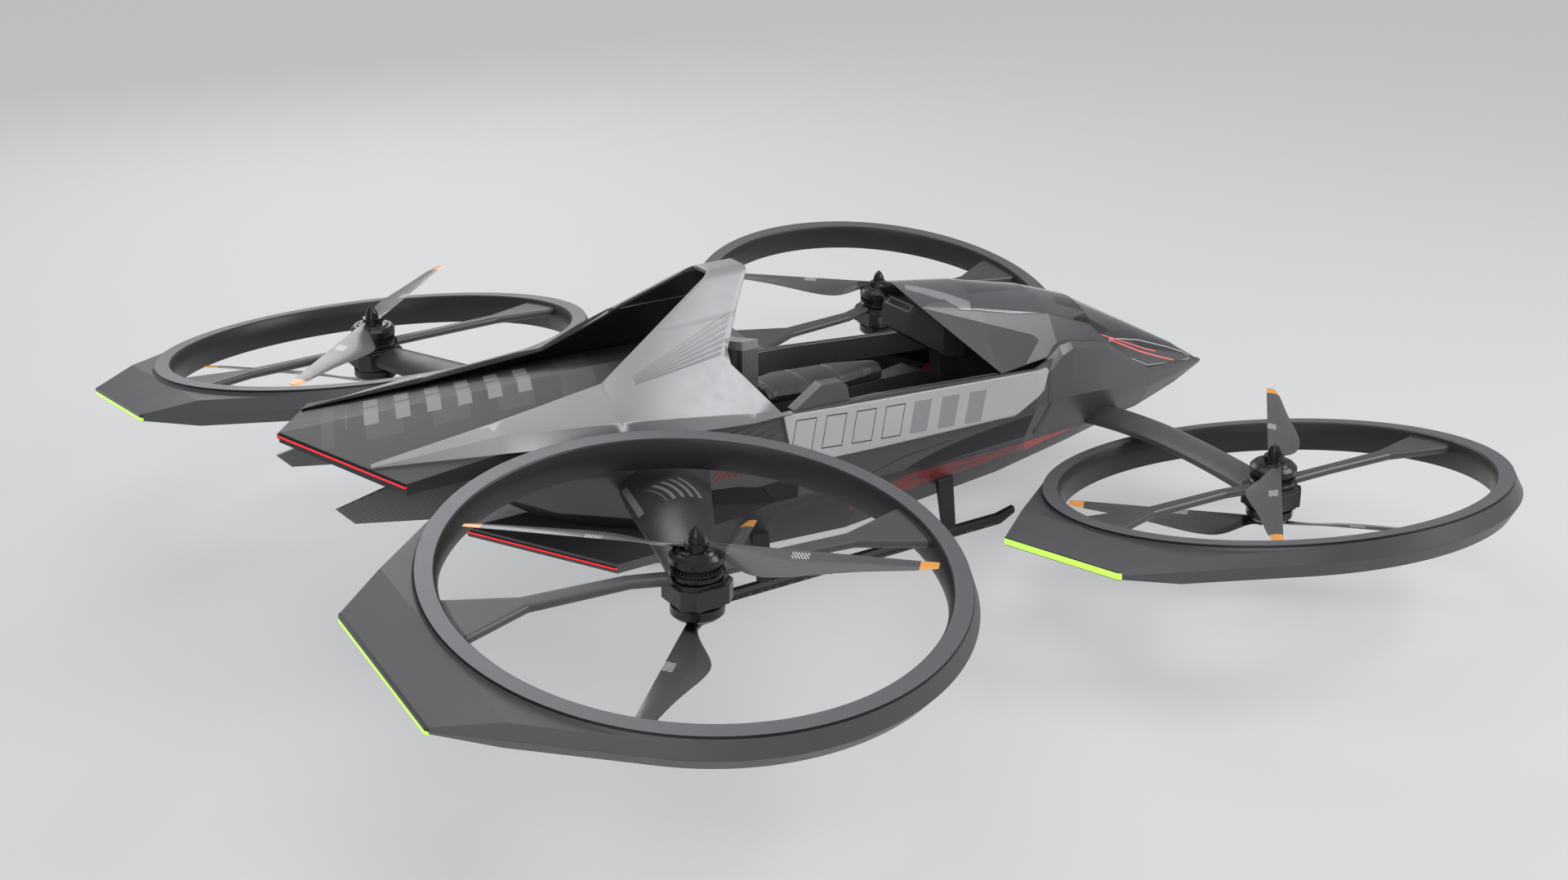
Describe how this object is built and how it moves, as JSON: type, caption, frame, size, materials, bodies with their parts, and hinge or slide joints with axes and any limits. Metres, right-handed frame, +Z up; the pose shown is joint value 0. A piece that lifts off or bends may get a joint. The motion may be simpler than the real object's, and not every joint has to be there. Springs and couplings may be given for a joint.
{
  "type": "single-seat electric vertical take-off aircraft with four canted duct rings",
  "caption": "Single-seat open-cockpit electric lift aircraft: saddle tub, roll hoop and canopy between canted duct rings with contra-turning propellers, on fixed skids.",
  "frame": {"origin": "centre of the plan outline at floor level, under the skids", "axes": "+X forward along the body, +Y to the left, +Z up along the propeller axes"},
  "size_m": [5.01, 4.8606, 1.4268],
  "materials": {
    "grey_shell": "satin",
    "silver_shell": "satin",
    "black_shell": "satin",
    "carbon_weave": "satin",
    "clear_roof": "gloss",
    "light_bar": "gloss",
    "seat_foam": "matte",
    "motor_metal": "satin",
    "battery_case": "satin"
  },
  "bodies": {
    "airframe": {"arm_front_left": "grey_shell", "arm_front_right": "grey_shell", "arm_rear_left": "grey_shell", "arm_rear_right": "grey_shell", "backrest": "black_shell", "battery_pack": "battery_case", "belly_pan": "black_shell", "body_tub": "grey_shell", "canopy_frame": "grey_shell", "canopy_glass": "clear_roof", "dash_pod": "black_shell", "dash_post": "black_shell", "hub_front_left": "motor_metal", "hub_front_right": "motor_metal", "hub_rear_left": "motor_metal", "hub_rear_right": "motor_metal", "landing_skids": "black_shell", "lower_tail_plate": "grey_shell", "nose_cheeks": "grey_shell", "nose_lamp_glass": "clear_roof", "nose_shell": "grey_shell", "ring_front_left": "grey_shell", "ring_front_right": "grey_shell", "ring_lights": "light_bar", "ring_rear_left": "grey_shell", "ring_rear_right": "grey_shell", "roll_hoop": "silver_shell", "saddle": "seat_foam", "saddle_tunnel": "black_shell", "side_control": "black_shell", "side_panels": "silver_shell", "side_rails": "carbon_weave", "side_windows": "clear_roof", "tail_deck": "grey_shell", "tail_lights": "light_bar", "ventral_fins": "carbon_weave"},
    "rotor_top_rear_left": {"rotor_top_rear_left": "carbon_weave"},
    "rotor_low_rear_left": {"rotor_low_rear_left": "carbon_weave"},
    "rotor_top_rear_right": {"rotor_top_rear_right": "carbon_weave"},
    "rotor_low_rear_right": {"rotor_low_rear_right": "carbon_weave"},
    "rotor_top_front_left": {"rotor_top_front_left": "carbon_weave"},
    "rotor_low_front_left": {"rotor_low_front_left": "carbon_weave"},
    "rotor_top_front_right": {"rotor_top_front_right": "carbon_weave"},
    "rotor_low_front_right": {"rotor_low_front_right": "carbon_weave"}
  },
  "joints": [
    {"name": "spin_top_rear_left", "type": "hinge", "parent": "airframe", "child": "rotor_top_rear_left", "pos_m": [-1.326, 1.433, 0.86], "axis": [0, 0, 1], "continuous": true},
    {"name": "spin_low_rear_left", "type": "hinge", "parent": "airframe", "child": "rotor_low_rear_left", "pos_m": [-1.326, 1.433, 0.86], "axis": [0, 0, 1], "continuous": true},
    {"name": "spin_top_rear_right", "type": "hinge", "parent": "airframe", "child": "rotor_top_rear_right", "pos_m": [-1.326, -1.433, 0.86], "axis": [0, 0, 1], "continuous": true},
    {"name": "spin_low_rear_right", "type": "hinge", "parent": "airframe", "child": "rotor_low_rear_right", "pos_m": [-1.326, -1.433, 0.86], "axis": [0, 0, 1], "continuous": true},
    {"name": "spin_top_front_left", "type": "hinge", "parent": "airframe", "child": "rotor_top_front_left", "pos_m": [1.506, 1.433, 0.537], "axis": [0, 0, 1], "continuous": true},
    {"name": "spin_low_front_left", "type": "hinge", "parent": "airframe", "child": "rotor_low_front_left", "pos_m": [1.506, 1.433, 0.537], "axis": [0, 0, 1], "continuous": true},
    {"name": "spin_top_front_right", "type": "hinge", "parent": "airframe", "child": "rotor_top_front_right", "pos_m": [1.506, -1.433, 0.537], "axis": [0, 0, 1], "continuous": true},
    {"name": "spin_low_front_right", "type": "hinge", "parent": "airframe", "child": "rotor_low_front_right", "pos_m": [1.506, -1.433, 0.537], "axis": [0, 0, 1], "continuous": true}
  ]
}
